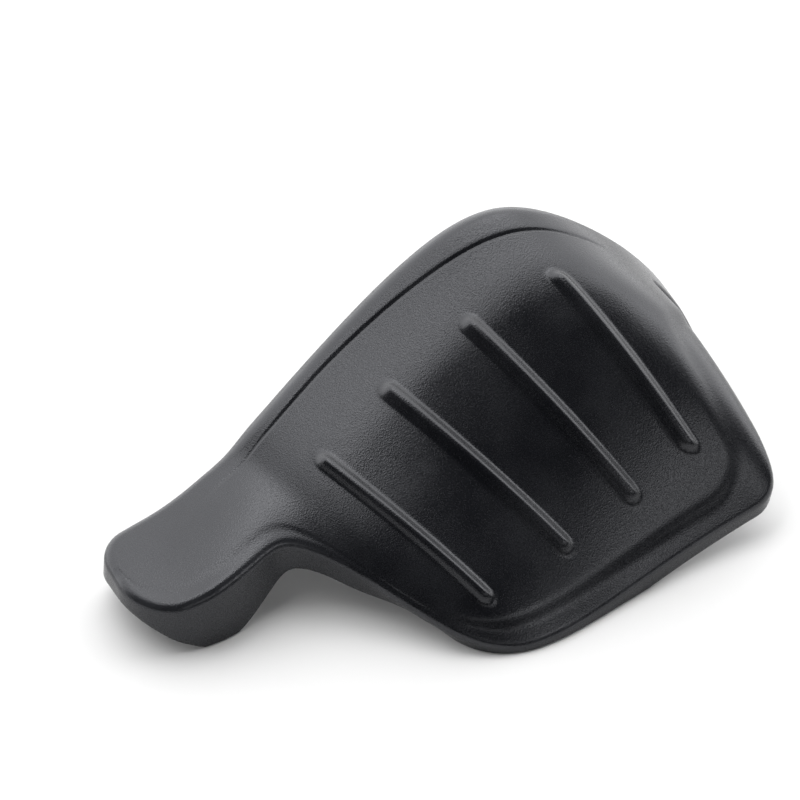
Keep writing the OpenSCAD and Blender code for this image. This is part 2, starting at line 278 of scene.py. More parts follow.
def groove_down(u, d):
    """The line between strip and panel: a slope down and a steep way up again. It is wider on the
    crown than on the foot, and three times as deep."""
    w = strip_at(u)
    wide = GROOVE_FOOT_W + (GROOVE_CROWN_W - GROOVE_FOOT_W) * ease(*GROOVE_WIDENS, u)
    deep = (1 + 2 * ease(*GROOVE_SINKS, u)) / 3 * ease(*GROOVE_STARTS, u) * (1 - ease(*GROOVE_ENDS, u))
    return GROOVE_DEPTH * deep * ease(w - wide, w, d) * (1 - ease(w, w + GROOVE_RETURN, d))


def border_down(u, d, chord):
    """The border's depth, with a slope that follows both edges round their corner."""
    t = d / chord
    right = (1 - t) * (TOP_RUN[WING_AT] - top_mm(u)) + t * (LOW_RUN[WING_AT] - low_mm(u))
    a = np.maximum(0, BORDER_CORNER_R - (chord - d - BORDER_W))
    b = np.maximum(0, BORDER_CORNER_R - (right - BORDER_SIDE_W)) * ease(*SIDE_STARTS, d)
    past = BORDER_CORNER_R - np.hypot(a, b)
    sunk = 1 - ease(-BORDER_SLOPE / 2, BORDER_SLOPE / 2, past)
    return np.where(u > WING_AT, 0, BORDER_DROP * sunk * ease(*BORDER_STARTS, u))


print("groove %.1f mm deep, border %.1f mm" % (GROOVE_DEPTH, BORDER_DROP))

# %% Ribs, hollow and the sum of all
RIB_RISE, RIB_HALF_W, RIB_LEAN, RIB_POWER, WING_W = 2.8, 5.6, 0.6, 0.9, 165.0
HOLLOW_DEPTH, HOLLOW_W, HOLLOW_ENDS, FOOT_CORNER_R = 0.15, 9.0, (4.6, 5.4), 16.0

# Station of each rib, and where it starts and ends across the face in mm
RIBS = [(5.80, 40, 127.5), (6.94, 41, 138.5), (7.85, 46, 144), (8.75, 48.5, 136.5)]


def rib_up(u, d, rib):
    """A raised cosine across the rib, steep on the right and gentle on the left, round its ends."""
    station, start, end = rib
    top = top_mm(station + 0.5) - top_mm(station - 0.5)
    low = low_mm(station + 0.5) - low_mm(station - 0.5)
    side = (u - station) * (top * (1 - d / WING_W) + low * d / WING_W) - RIB_LEAN
    past = np.maximum(0, np.maximum(start - d, d - end))
    width = np.where(side > 0, RIB_HALF_W - 2 * RIB_LEAN, RIB_HALF_W + RIB_LEAN / 2)
    r = np.clip(np.hypot(side / width, past / RIB_HALF_W), 0, 1)
    return RIB_RISE * (0.5 + 0.5 * np.cos(np.pi * r)) ** RIB_POWER


def hollow_down(u, d, chord):
    """A shallow hollow, one cosine wave wide, that leaves a soft bead along the foot's lower fold."""
    edge_in = chord - d - lip_radius(u) - corner(low_mm(u) - FOOT_FOLD_R, FOOT_CORNER_R)
    wave = 0.5 - 0.5 * np.cos(2 * np.pi * np.clip(edge_in / HOLLOW_W, 0, 1))
    return HOLLOW_DEPTH * wave * (1 - ease(*HOLLOW_ENDS, u))


def rise(u, d, chord):
    """Height of the finished face over the plain one."""
    ribs = np.max([rib_up(u, d, rib) for rib in RIBS], axis=0)
    return (ribs - step_down(u, d) - groove_down(u, d) - border_down(u, d, chord)
            - hollow_down(u, d, chord))


print(len(RIBS), "ribs, %.1f mm high" % RIB_RISE)

# %% [markdown]
# ## The grid of the face
#
# A Subdivision Surface modifier could refine a coarse mesh, but it would melt the ribs away. The
# CAD model gets by with about 12,000 triangles. Here the face has more than 300 columns, closer
# where the ribs are, so that their round flanks catch the light without facets. The columns also
# close up round the corners of the foot and the wing, which keeps those corners round.

# %% Columns
FOOT_BACK_R, WING_CORNER_R, NOTCH_R, ARM_W = 9.0, 20.0, 7.5, 23.0
CROWDING, CROWD_W, CROWD_SAMPLES = 2.2, 0.16, 4000
FOOT_STEPS, LONG_STEPS, CORNER_STEPS, NOTCH_STEPS, ARM_STEPS, END_STEPS = 16, 236, 14, 10, 46, 12
END_HALF_FLAT = 0.4
NOTCH_D = ARM_W - ARM_EDGE_R + NOTCH_R
ARM_START = top_mm(WING_AT)
ARM_STOP = TOP_RUN[-1] - ARM_EDGE_R
ARM_END_R = ARM_W / 2 - ARM_EDGE_R - END_HALF_FLAT


def spread(a, b, count):
    """Stations from a to b at even distances, closer together near each rib."""
    fine = np.linspace(a, b, CROWD_SAMPLES)
    density = np.gradient(top_mm(fine) + low_mm(fine), fine)
    for station, _, _ in RIBS:
        density = density * (1 + CROWDING * np.exp(-((fine - station) / CROWD_W) ** 2))
    total = np.concatenate([[0], np.cumsum((density[1:] + density[:-1]) / 2)])
    return np.interp(np.linspace(0, total[-1], count + 1), total, fine)


quarter = np.linspace(0, math.pi / 2, FOOT_STEPS + 1)
foot_columns = at_low(FOOT_FOLD_R + FOOT_CORNER_R * (1 - np.cos(quarter)))
quarter = np.linspace(math.pi / 2, 0, CORNER_STEPS + 1)
corner_columns = at_low(LOW_RUN[WING_AT] - WING_CORNER_R * (1 - np.cos(quarter)))
long_columns = spread(foot_columns[-1], corner_columns[0], LONG_STEPS)
notch_turn = np.linspace(0, math.pi / 2, NOTCH_STEPS + 1)[1:]
notch_columns = at_top(ARM_START + NOTCH_R * (1 - np.cos(notch_turn)))
arm_columns = at_top(np.linspace(ARM_START + NOTCH_R, ARM_STOP - ARM_END_R, ARM_STEPS + 1)[1:-1])
quarter = np.linspace(math.pi / 2, 0, END_STEPS + 1)
end_columns = at_top(ARM_STOP - ARM_END_R * (1 - np.cos(quarter)))
wing_columns = np.concatenate([foot_columns, long_columns[1:-1], corner_columns])
columns = np.concatenate([wing_columns, notch_columns, arm_columns, end_columns])
last_wing = len(wing_columns) - 1
last_column = len(columns) - 1
print(len(columns), "columns,", last_wing + 1, "of them on the wing")

# %% Rows
STRIP_ROWS, PANEL_ROWS, GROOVE_ROOM = 28, 84, 2.2
ROW_KEYS = np.array([0, 0.18, 0.68, 1.0])
STRIP_SHARE, ROWS_CROWD, ARM_EVEN_BY = 0.5, (1.5, 3.5), 25
last_row = STRIP_ROWS + PANEL_ROWS


def chord_at(u):
    """Straight distance between both edges of the section."""
    s = section(u)
    return np.linalg.norm(s[..., 3:6] - s[..., 0:3], axis=-1)


def wing_rows():
    """Distances across each wing column. Half of the strip's rows crowd round the groove."""
    u = wing_columns
    chord = chord_at(u)
    from_end = top_mm(u) - top_mm(columns[0])
    first = fold_radius(u) + corner(from_end, FOOT_BACK_R)
    last = (chord - lip_radius(u) - corner(low_mm(u) - FOOT_FOLD_R, FOOT_CORNER_R)
            - corner(LOW_RUN[WING_AT] - low_mm(u), WING_CORNER_R))
    room = np.minimum(1, STRIP_SHARE * (last - first) / (NOTCH_D - first))
    crowd = ease(*ROWS_CROWD, u)
    part = np.linspace(0, 1, STRIP_ROWS + 1)
    w = strip_at(u)
    near = np.maximum(w - GROOVE_ROOM, first)
    places = np.stack([first, near, w + GROOVE_ROOM, np.full_like(u, NOTCH_D)])
    k = np.clip(np.searchsorted(ROW_KEYS, part, side="right") - 1, 0, 2)
    f = (part - ROW_KEYS[k]) / (ROW_KEYS[k + 1] - ROW_KEYS[k])
    plan = places[k] * (1 - f)[:, None] + places[k + 1] * f[:, None]
    plain = first + (NOTCH_D - first) * part[:, None]
    strip = first + room * ((plan - first) * crowd + (plain - first) * (1 - crowd))
    turn = strip[-1]
    panel = turn + (last - turn) * np.linspace(0, 1, PANEL_ROWS + 1)[1:, None]
    return np.concatenate([strip, panel]).T


def arm_rows():
    """Distances across each arm column, from the strip's rows at the notch to even ones."""
    u = columns[last_wing + 1:]
    x = top_mm(u)
    cut = corner(ARM_STOP - x, ARM_END_R)
    first = ARM_EDGE_R + cut
    last = ARM_W - ARM_EDGE_R + corner(x - ARM_START, NOTCH_R) - cut
    edge = rows_wing[-1, :STRIP_ROWS + 1]
    share = (edge - edge[0]) / (edge[-1] - edge[0])
    k = ease(0, ARM_EVEN_BY, x - ARM_START)[:, None]
    even = np.linspace(0, 1, STRIP_ROWS + 1)
    return first[:, None] + (last - first)[:, None] * (share * (1 - k) + even * k)


rows_wing = wing_rows()
rows_arm = arm_rows()
print(last_row + 1, "rows on the wing,", STRIP_ROWS + 1, "on the arm")

# %% [markdown]
# ## Face, fold and flange
#
# The edge of the face is one closed loop: along the top, round the arm, through the notch,
# round the wing and back round the foot. From each of its points a quarter-round fold carries
# the wall over, and a straight flange goes on down to the rim. A Bevel modifier could round the
# edge, but not with a radius that changes along it. The rim's corners are rounded by 0.7 mm,
# because a moulding has no sharp edge and the light finds it at once.
#
# The inner side is the same surface, one wall thickness further in. So the grooves behind the
# ribs come for nothing, as they do in the mould.

# %% Points and normals of the face
def number(i, j):
    """Index of a face point: full rows on the wing, then short rows on the arm."""
    i, j = np.asarray(i), np.asarray(j)
    on_wing = i <= last_wing
    past = (last_wing + 1) * (last_row + 1) + (i - last_wing - 1) * (STRIP_ROWS + 1)
    return np.where(on_wing, i * (last_row + 1), past) + j


u_face = np.concatenate([np.repeat(wing_columns, last_row + 1),
                         np.repeat(columns[last_wing + 1:], STRIP_ROWS + 1)])
d_face = np.concatenate([rows_wing.ravel(), rows_arm.ravel()])
chord_face = chord_at(u_face)
plain_normal = face_normal(u_face, d_face)
face = across(section(u_face), d_face) + plain_normal * rise(u_face, d_face, chord_face)[:, None]
print(len(face), "points on the face")


# %% The edge loop
def edge_loop():
    """Column and row of every point round the face, in order."""
    arm = [(last_column, j) for j in range(1, STRIP_ROWS + 1)]
    notch = [(i, STRIP_ROWS) for i in range(last_column - 1, last_wing - 1, -1)]
    free = [(last_wing, j) for j in range(STRIP_ROWS + 1, last_row + 1)]
    low = [(i, last_row) for i in range(last_wing - 1, -1, -1)]
    foot = [(0, j) for j in range(last_row - 1, 0, -1)]
    top = [(i, 0) for i in range(last_column + 1)]
    return np.array(top + arm + notch + free + low + foot)


loop = edge_loop()
loop_index = number(loop[:, 0], loop[:, 1])
u_loop, d_loop = u_face[loop_index], d_face[loop_index]
edge = face[loop_index]
back = edge - np.roll(edge, 1, axis=0)
on = np.roll(edge, -1, axis=0) - edge
along = unit(back * dot(on, on) + on * dot(back, back))
out = unit(np.cross(plain_normal[loop_index], along))
edge_normal = np.cross(along, out)
share = ease(0, 1, d_loop / chord_face[loop_index])
print(len(loop), "points round the edge")

# %% Fold and flange at every edge point
DRAFT = math.tan(math.radians(6))
NOTCH_FADE, DOWNWARDS, NO_LIMIT = 20, 0.5, 100
UPRIGHT_NORMAL, UPRIGHT_ENDS = (0.35, 0.75), (WING_AT - 0.8, WING_AT)


def edge_radius():
    """Fold radius at each edge point: the top's, the lip's, and the arm's past the wing."""
    mixed = fold_radius(u_loop) * (1 - share) + lip_radius(u_loop) * share
    free = ARM_EDGE_R + (LIP_R - ARM_EDGE_R) * ease(NOTCH_D, NOTCH_D + NOTCH_FADE, d_loop)
    on_arm = (loop[:, 0] > last_wing) | (loop[:, 1] <= STRIP_ROWS)
    return np.where(u_loop < WING_AT, mixed, np.where(on_arm, ARM_EDGE_R, free))


radius = edge_radius()
sections = section(u_loop)
depth = sections[:, 8] * (1 - share) + sections[:, 9] * share
upright = ease(*UPRIGHT_NORMAL, edge_normal[:, 2]) * (1 - ease(*UPRIGHT_ENDS, u_loop))
flat_out = unit(out * np.array([1, 1, 0]))
drop = (flat_out * DRAFT - np.array([0, 0, 1])) * upright[:, None]
pull = unit(drop - edge_normal * (1 - upright)[:, None])
inward = unit(pull - dot(pull, along) * along)
turn = np.arccos(np.clip(dot(out, inward)[:, 0], -1, 1))
centre = edge - edge_normal * radius[:, None]
bend = np.sin(turn)[:, None] * out + np.cos(turn)[:, None] * edge_normal
fold_end = centre + radius[:, None] * bend
fall = -pull[:, 2]
room = np.where(fall > DOWNWARDS, fold_end[:, 2] / np.maximum(fall, DOWNWARDS), NO_LIMIT)
flange = np.maximum(1, np.minimum(depth - radius * np.tan(turn / 2), room))
print("flange from %.0f to %.0f mm deep" % (flange.min(), flange.max()))

# %% [markdown]
# ## One closed skin
#
# The rings below list how far each goes round the fold, how far down the flange and how far
# into the wall. The first ones lie on the outside, the middle ones go round the rim, and the
# last ones come back up inside. Together with both faces they close the skin. A Solidify
# modifier could give the wall its thickness, but it would leave the rim square.

# %% Rings from the face to the rim and back
FOLD_STEPS, FLANGE_STEPS, RIM_R, RIM_SHARE = 9, 5, 0.7, 0.3
RIM_TURNS = np.radians([30, 60, 90])


def ring(angle, run, inset):
    """The edge turned by angle (0 to 1) round its fold, run down the flange, inset into the wall."""
    a = (turn * angle)[:, None]
    bent = centre + (radius[:, None] - inset) * (np.sin(a) * out + np.cos(a) * edge_normal)
    return bent + pull * run


def rings():
    """Outer fold and flange, the rounded rim, then inner flange and fold."""
    length = flange[:, None]
    rim = np.minimum(RIM_R, length * RIM_SHARE)
    steps = [(k / FOLD_STEPS, 0 * length, 0.0) for k in range(1, FOLD_STEPS + 1)]
    steps += [(1, (length - rim) * k / FLANGE_STEPS, 0.0) for k in range(1, FLANGE_STEPS + 1)]
    for a in RIM_TURNS:
        steps.append((1, length - rim * (1 - math.sin(a)), RIM_R * (1 - math.cos(a))))
    for a in RIM_TURNS[::-1]:
        steps.append((1, length - rim * (1 - math.sin(a)), WALL - RIM_R * (1 - math.cos(a))))
    steps += [(1, (length - rim) * k / FLANGE_STEPS, WALL) for k in range(FLANGE_STEPS, -1, -1)]
    steps += [(k / FOLD_STEPS, 0 * length, WALL) for k in range(FOLD_STEPS - 1, 0, -1)]
    return steps


ring_steps = rings()
ring_points = np.concatenate([ring(*step) for step in ring_steps])
ring_inside = np.repeat([step[2] / WALL for step in ring_steps], len(loop))
ring_fold = np.repeat([math.sin(math.pi * step[0]) if step[2] == 0 else 0 for step in ring_steps],
                      len(loop))

skin_normal = plain_normal.copy()
skin_normal[loop_index] = edge_normal
inner_face = face - WALL * skin_normal
plain_points = np.concatenate([face, ring_points, inner_face])
inside = np.concatenate([np.zeros(len(face)), ring_inside, np.ones(len(face))])
folded = np.concatenate([np.zeros(len(face)), ring_fold, np.zeros(len(face))])
flat_face = np.column_stack([top_mm(u_face), d_face, np.zeros(len(face))])
flat_loop = np.column_stack([top_mm(u_loop), d_loop, np.zeros(len(loop))])
flat = np.concatenate([flat_face, np.tile(flat_loop, (len(ring_steps), 1)), flat_face])
print(len(plain_points), "points in the skin")


# %% Cells of the skin
def belt_cells(belts):
    """Four-cornered cells between each closed row of point numbers and the next one."""
    a, b = belts[:-1], belts[1:]
    return np.stack([a, np.roll(a, -1, axis=1), np.roll(b, -1, axis=1), b], axis=-1).reshape(-1, 4)


def face_cells():
    """Four corners of every cell of the face, in outward order."""
    i, j = np.meshgrid(np.arange(last_wing), np.arange(last_row), indexing="ij")
    k, m = np.meshgrid(np.arange(last_wing, last_column), np.arange(STRIP_ROWS), indexing="ij")
    i = np.concatenate([i.ravel(), k.ravel()])
    j = np.concatenate([j.ravel(), m.ravel()])
    return np.stack([number(i, j), number(i, j + 1), number(i + 1, j + 1), number(i + 1, j)], axis=1)


def ring_cells():
    """Cells from the outer face's edge through every ring to the inner face's edge."""
    made = [len(face) + k * len(loop) + np.arange(len(loop)) for k in range(len(ring_steps))]
    return belt_cells(np.array([loop_index] + made + [inner_start + loop_index]))


inner_start = len(face) + len(ring_points)
outer_cells = face_cells()
edge_cells = ring_cells()
print(len(outer_cells), "cells on each face,", len(edge_cells), "round the edge")

# %% [markdown]
# ## The hole for the bar-end screw
#
# A Boolean modifier could cut the hole, but it leaves long thin triangles that shade badly. So
# the grid gets a patch. A block of cells round the hole is taken out of both faces. Belts of new
# cells then run from the block's border to a circle, through the wall as a short tube, and back
# to the border of the inner face. Each circle is found by Newton's method: the station and the
# distance across are changed until the point lies on the drill's cylinder.

# %% Where the drill meets the face
SCREW_D, SCREW_FROM_END, HOLE_ROOM, HOLE_CHAMFER = 8.4, 14.0, 1.6, 0.35
NEWTON_STEPS, SMALL_STATION, SMALL_MM = 8, 0.001, 0.01


def outer_face(u, d):
    """Points and plain normals of the finished outer face."""
    u, d = np.broadcast_arrays(np.asarray(u, dtype=float), np.asarray(d, dtype=float))
    n = face_normal(u, d)
    return across(section(u), d) + n * rise(u, d, chord_at(u))[..., None], n


def level_and_side(axis):
    """Two directions square to an axis, the first of them level."""
    level = unit(np.array([axis[2], 0.0, -axis[0]]))
    return level, np.cross(axis, level)


screw_u = float(at_top(TOP_RUN[-1] - SCREW_FROM_END))
screw_seat, screw_axis = outer_face(screw_u, ARM_W / 2)
screw_level, screw_side = level_and_side(screw_axis)


def drill_plane(u, d, inset):
    """The face, inset into the wall, as seen along the drill: level and sideways millimetres."""
    p, n = outer_face(u, d)
    p = p - inset * n - screw_seat
    return np.stack([p @ screw_level, p @ screw_side], axis=-1)


def on_cylinder(angles, r, inset):
    """Where the face, inset into the wall, meets a cylinder of radius r round the drill's axis."""
    u, d = np.full(len(angles), screw_u), np.full(len(angles), ARM_W / 2)
    target = r * np.stack([np.cos(angles), np.sin(angles)], axis=-1)
    for _ in range(NEWTON_STEPS):
        here = drill_plane(u, d, inset)
        by_u = (drill_plane(u + SMALL_STATION, d, inset) - here) / SMALL_STATION
        by_d = (drill_plane(u, d + SMALL_MM, inset) - here) / SMALL_MM
        det = by_u[:, 0] * by_d[:, 1] - by_u[:, 1] * by_d[:, 0]
        miss = target - here
        u = u + (miss[:, 0] * by_d[:, 1] - miss[:, 1] * by_d[:, 0]) / det
        d = d + (by_u[:, 0] * miss[:, 1] - by_u[:, 1] * miss[:, 0]) / det
    return u, d


print("the screw stands at station %.2f" % screw_u)


# %% The patch round the hole
def hole_block():
    """Column and row range of the cells that make room for the hole."""
    mm = top_mm(columns)
    at = top_mm(screw_u)
    i = np.nonzero(np.abs(mm - at) < SCREW_D / 2 + HOLE_ROOM)[0]
    row = rows_arm[int(np.argmin(np.abs(mm - at))) - last_wing - 1]
    j = np.nonzero(np.abs(row - ARM_W / 2) < SCREW_D / 2 + HOLE_ROOM)[0]
    return i[0], i[-1], j[0], j[-1]


def hole_patch():
    """Points, cells and inside values from the block's outer border, through the hole, to the inner."""
    i0, i1, j0, j1 = hole_block()
    border = ([(i0, j) for j in range(j0, j1)] + [(i, j1) for i in range(i0, i1)]
              + [(i1, j) for j in range(j1, j0, -1)] + [(i, j0) for i in range(i1, i0, -1)])
    index = number(*np.array(border).T)
    seen = drill_plane(u_face[index], d_face[index], 0)
    angles = np.arctan2(seen[:, 1], seen[:, 0])
    r, chamfer = SCREW_D / 2, HOLE_CHAMFER

    def faces(inset, shares):
        """Belts on the face, inset into the wall, part of the way from the block to the circle."""
        u_round, d_round = on_cylinder(angles, r + chamfer, inset)
        found = []
        for near in shares:
            p, n = outer_face(u_face[index] * (1 - near) + u_round * near,
                              d_face[index] * (1 - near) + d_round * near)
            found.append(p - inset * n)
        return found

    def tube(inset, lift):
        """One belt on the drill's cylinder, lifted along its axis."""
        p, n = outer_face(*on_cylinder(angles, r, inset))
        return [p - inset * n + lift * screw_axis]

    belts = (faces(0, [1 / 3, 2 / 3, 1]) + tube(0, -chamfer)
             + tube(WALL, chamfer) + faces(WALL, [1, 2 / 3, 1 / 3]))
    count = len(index)
    first_new = inner_start + len(face)
    order = [index] + [first_new + k * count + np.arange(count) for k in range(len(belts))]
    made = belt_cells(np.array(order + [inner_start + index]))
    return np.concatenate(belts), made, np.repeat([0.0] * 4 + [1.0] * 4, count)


hole_points, hole_cells, hole_inside = hole_patch()
i0, i1, j0, j1 = hole_block()
block_i, block_j = np.meshgrid(np.arange(i0, i1), np.arange(j0, j1), indexing="ij")
taken = number(block_i.ravel(), block_j.ravel())
outer_cells = outer_cells[~np.isin(outer_cells[:, 0], taken)]
inner_cells = outer_cells[:, ::-1] + inner_start
cells = np.concatenate([outer_cells, edge_cells, inner_cells, hole_cells])
print(len(taken), "cells make room for the hole,", len(hole_cells), "go round it")
print(len(cells) * 2, "triangles in the skin")

# %% [markdown]
# ## The clip ring inside the foot
#
# The guard is pressed onto a stud of the lever clamp, and this split ring snaps round it. It could
# be cut out of a block, but a profile carried along a path keeps clean rows of cells. The ring is
# one rounded strip, 14 mm high, that runs down one leg, round the bore and back up the other leg.
# Two closed skins make it: the strip, and a thin flat pad at the bottom of the bore. Both start
# half-way into the wall, so they grow out of it without a gap.

# %% A closed skin through belts
def swept(belts):
    """Points and cells of a closed tube through rows of belts, an even number of points each. The
    sum of corner 0 times the cross product of two sides has the sign of the volume, so it shows
    whether the cells point outwards."""
    belts = np.asarray(belts, dtype=float)
    rows, around = belts.shape[:2]
    index = np.arange(rows * around).reshape(rows, around)
    k = np.arange(around // 2 - 1)
    first, last = index[0], index[-1]
    start_cap = np.stack([first[k], first[-1 - k], first[-2 - k], first[k + 1]], axis=-1)
    end_cap = np.stack([last[k], last[k + 1], last[-2 - k], last[-1 - k]], axis=-1)
    made = np.concatenate([belt_cells(index), start_cap, end_cap])
    p = belts.reshape(-1, 3)
    a, b, c, d = [p[made[:, k]] for k in range(4)]
    volume = np.sum((np.cross(b - a, c - a) + np.cross(c - a, d - a)) * a)
    return p, made if volume > 0 else made[:, ::-1]


# %% The strip of the clip ring
CLIP_BORE_D, CLIP_WALL, CLIP_H, CLIP_SLOT, CLIP_LEG = 14.5, 3.2, 14.0, 6.5, 10.0
ARC_STEPS, LEG_STEPS, SMOOTHINGS = 120, 15, 6
DIMPLES, DIMPLE_DEPTH, DIMPLE_HALF_W, DIMPLE_STOP = (40, 165, 232, 308), 0.55, 7.0, 0.5
MOUTH_R, MOUTH_BEVEL = 0.6, 0.18


def strip_path():
    """Middle line of the strip: leg, arc and leg, its two turns rounded by averaging."""
    middle = (CLIP_BORE_D + CLIP_WALL) / 2
    leg = (CLIP_SLOT + CLIP_WALL) / 2
    end = CLIP_BORE_D / 2 + CLIP_LEG
    turn_at = math.asin(leg / middle)
    angle = np.linspace(-math.pi / 2 - turn_at, -2.5 * math.pi + turn_at, ARC_STEPS)
    arc = middle * np.stack([np.cos(angle), np.sin(angle)], axis=-1)
    down = np.linspace(-end, arc[0, 1], LEG_STEPS + 1)[:-1]
    left = np.stack([np.full(LEG_STEPS, -leg), down], axis=-1)
    right = left[::-1] * np.array([-1, 1])
    path = np.concatenate([left, arc, right])
    for _ in range(SMOOTHINGS):
        path[1:-1] = (path[:-2] + 2 * path[1:-1] + path[2:]) / 4
    return path


def clip_strip():
    """Belts of the strip: a rounded rectangle along the path, a little thinner at four dimples."""
    path = strip_path()
    heading = unit(np.gradient(path, axis=0))
    side = np.stack([-heading[:, 1], heading[:, 0]], axis=-1)
    angle = np.degrees(np.arctan2(path[:, 1], path[:, 0])) % 360
    dimple = sum(DIMPLE_DEPTH * np.exp(-((angle - at) / DIMPLE_HALF_W) ** 2) for at in DIMPLES)
    dimple = np.where(path[:, 1] > -CLIP_BORE_D / 2 - DIMPLE_STOP, dimple, 0)
    half = CLIP_WALL / 2
    top, mouth = -WALL / 2, -WALL / 2 - CLIP_H
    half_outline = [(0, top), (0, mouth + MOUTH_R), (MOUTH_BEVEL, mouth + MOUTH_BEVEL), (MOUTH_R, mouth)]
    outline = [(-1, *at) for at in half_outline]
    outline += [(1, *at) for at in half_outline[::-1]]
    belts = []
    for sign, cut, height in outline:
        thinner = dimple if sign > 0 else 0 * dimple
        line = path + side * (sign * (half - cut) - sign * thinner)[:, None]
        belts.append(np.column_stack([line, np.full(len(path), height)]))
    return np.stack(belts, axis=1)


strip_belts = clip_strip()
print("the strip has", len(strip_belts), "sections of", strip_belts.shape[1], "points")

# %% The pad, and both at their place
CLIP_STATION, CLIP_ACROSS, CLIP_PAD, PAD_INSET = 1.35, 24.0, 0.8, 0.4
PAD_ROUND_STEPS, PAD_LEG_STEPS, PAD_TIP, PAD_LEG_START = 24, 20, 0.05, -0.5


def clip_pad():
    """Belts of the pad: a rectangle whose width follows the ring and the legs."""
    outer = CLIP_BORE_D / 2 + CLIP_WALL - PAD_INSET
    end = -CLIP_BORE_D / 2 - CLIP_LEG + PAD_INSET
    round_y = outer * np.cos(np.linspace(PAD_TIP, math.pi / 2, PAD_ROUND_STEPS))
    y = np.concatenate([round_y, np.linspace(PAD_LEG_START, end, PAD_LEG_STEPS)])
    round_w = np.sqrt(np.maximum(outer ** 2 - y ** 2, 0))
    leg_w = np.where(y < 0, CLIP_SLOT / 2 + CLIP_WALL - PAD_INSET, 0)
    w = np.maximum(round_w, leg_w)
    corners = [(-w, -WALL / 2), (w, -WALL / 2), (w, -WALL - CLIP_PAD), (-w, -WALL - CLIP_PAD)]
    return np.stack([np.column_stack([x, y, np.full(len(y), z)]) for x, z in corners], axis=1)


clip_axis = face_normal(np.array(CLIP_STATION), np.array(CLIP_ACROSS))
clip_seat = across(section(CLIP_STATION), CLIP_ACROSS)
clip_level, clip_side = level_and_side(clip_axis)
clip_frame = np.stack([clip_level, clip_side, clip_axis])
clip_skins = [swept(belts) for belts in (strip_belts, clip_pad())]
clip_skins = [(clip_seat + p @ clip_frame, made) for p, made in clip_skins]
print("clip ring:", sum(len(made) for _, made in clip_skins), "cells")

# %% [markdown]
# ## Into the frame
#
# The loft has its own zero point. The CAD model's lies in the middle of its box, on the table. So
# the finished skin is moved until both models have the same arm's end, the same free edge of the
# wing and the same lowest point.

# %% From millimetres to the frame
points = np.concatenate([plain_points, hole_points])
for clip_points, made in clip_skins:
    cells = np.concatenate([cells, made + len(points)])
    points = np.concatenate([points, clip_points])
added = len(points) - len(plain_points)
inside = np.concatenate([inside, hole_inside, np.ones(added - len(hole_points))])
folded = np.concatenate([folded, np.zeros(added)])
flat = np.concatenate([flat, np.zeros((added, 3))])
own_low, own_high = points.min(axis=0), points.max(axis=0)
shift = cad_low / MM - own_low
shift[0] = cad_high[0] / MM - own_high[0]
print("shift in mm:", np.round(shift, 2), "own size:", np.round(np.ptp(points, axis=0), 1))


def to_frame(p):
    """Points in the frame's metres, from the loft's millimetres."""
    return (np.asarray(p, dtype=float) + shift) * MM


# %% Helpers that make a piece
SHARP_ANGLE = 40


def make_piece(name, vertices, quads, material):
    """A mesh object from whole arrays, smooth but for edges sharper than SHARP_ANGLE."""
    mesh = bpy.data.meshes.new(name)
    mesh.vertices.add(len(vertices))
    mesh.vertices.foreach_set("co", np.asarray(vertices, dtype=np.float32).ravel())
    mesh.loops.add(quads.size)
    mesh.loops.foreach_set("vertex_index", quads.astype(np.int32).ravel())
    mesh.polygons.add(len(quads))
    starts = np.arange(0, quads.size, quads.shape[1], dtype=np.int32)
    mesh.polygons.foreach_set("loop_start", starts)
    mesh.update(calc_edges=True)
    mesh.validate()
    mesh.shade_smooth()
    mesh.set_sharp_from_angle(angle=math.radians(SHARP_ANGLE))
    piece = bpy.data.objects.new(name, mesh)
    bpy.context.scene.collection.objects.link(piece)
    mesh.materials.append(material)
    print(name, "has", len(mesh.vertices), "points")
    return piece


def add_attribute(piece, name, values):
    """Stores one or three numbers per point, which the material reads by the name."""
    values = np.asarray(values, dtype=np.float32)
    kind, field = ("FLOAT", "value") if values.ndim == 1 else ("FLOAT_VECTOR", "vector")
    attribute = piece.data.attributes.new(name, kind, "POINT")
    attribute.data.foreach_set(field, values.ravel())


# %% [markdown]
# ## The plastic
#
# The guard is black polypropylene, moulded in a tool with a fine spark-eroded grain. The grain
# breaks every highlight into tiny glints, and it is what tells this plastic from paint. An image
# of it would blur close up, so it is worked out from cells and noise at its true size, about
# 0.6 mm, with a slower wave that the melt leaves as it cools. The folds are rubbed a little
# smoother and paler by hands. The inner side of the tool is polished, so it shines more and has
# less grain.

# %% Helpers for node trees
def feed(tree, value, entry):
    """Sets an input to a number, or links an output socket to it."""
    if isinstance(value, (int, float)):
        entry.default_value = value
    else:
        tree.links.new(value, entry)


def math_node(tree, operation, *values, clamp=False):
    """A Math node of numbers or output sockets."""
    node = tree.nodes.new("ShaderNodeMath")
    node.operation = operation
    node.use_clamp = clamp
    for k, value in enumerate(values):
        feed(tree, value, node.inputs[k])
    return node.outputs[0]


def range_node(tree, value, low, high, to_low, to_high, smooth=False):
    """A Map Range node: low to high become to_low to to_high, and nothing goes past them."""
    node = tree.nodes.new("ShaderNodeMapRange")
    if smooth:
        node.interpolation_type = "SMOOTHSTEP"
    limits = {"From Min": low, "From Max": high, "To Min": to_low, "To Max": to_high}
    for name, limit in limits.items():
        node.inputs[name].default_value = limit
    tree.links.new(value, node.inputs["Value"])
    return node.outputs["Result"]


def noise_node(tree, vector, scale, detail, rough=0.5):
    """Noise from 0 to 1, with scale waves per metre."""
    node = tree.nodes.new("ShaderNodeTexNoise")
    entries = {"Vector": vector, "Scale": scale, "Detail": detail, "Roughness": rough}
    for name, value in entries.items():
        feed(tree, value, node.inputs[name])
    return node.outputs["Fac"]


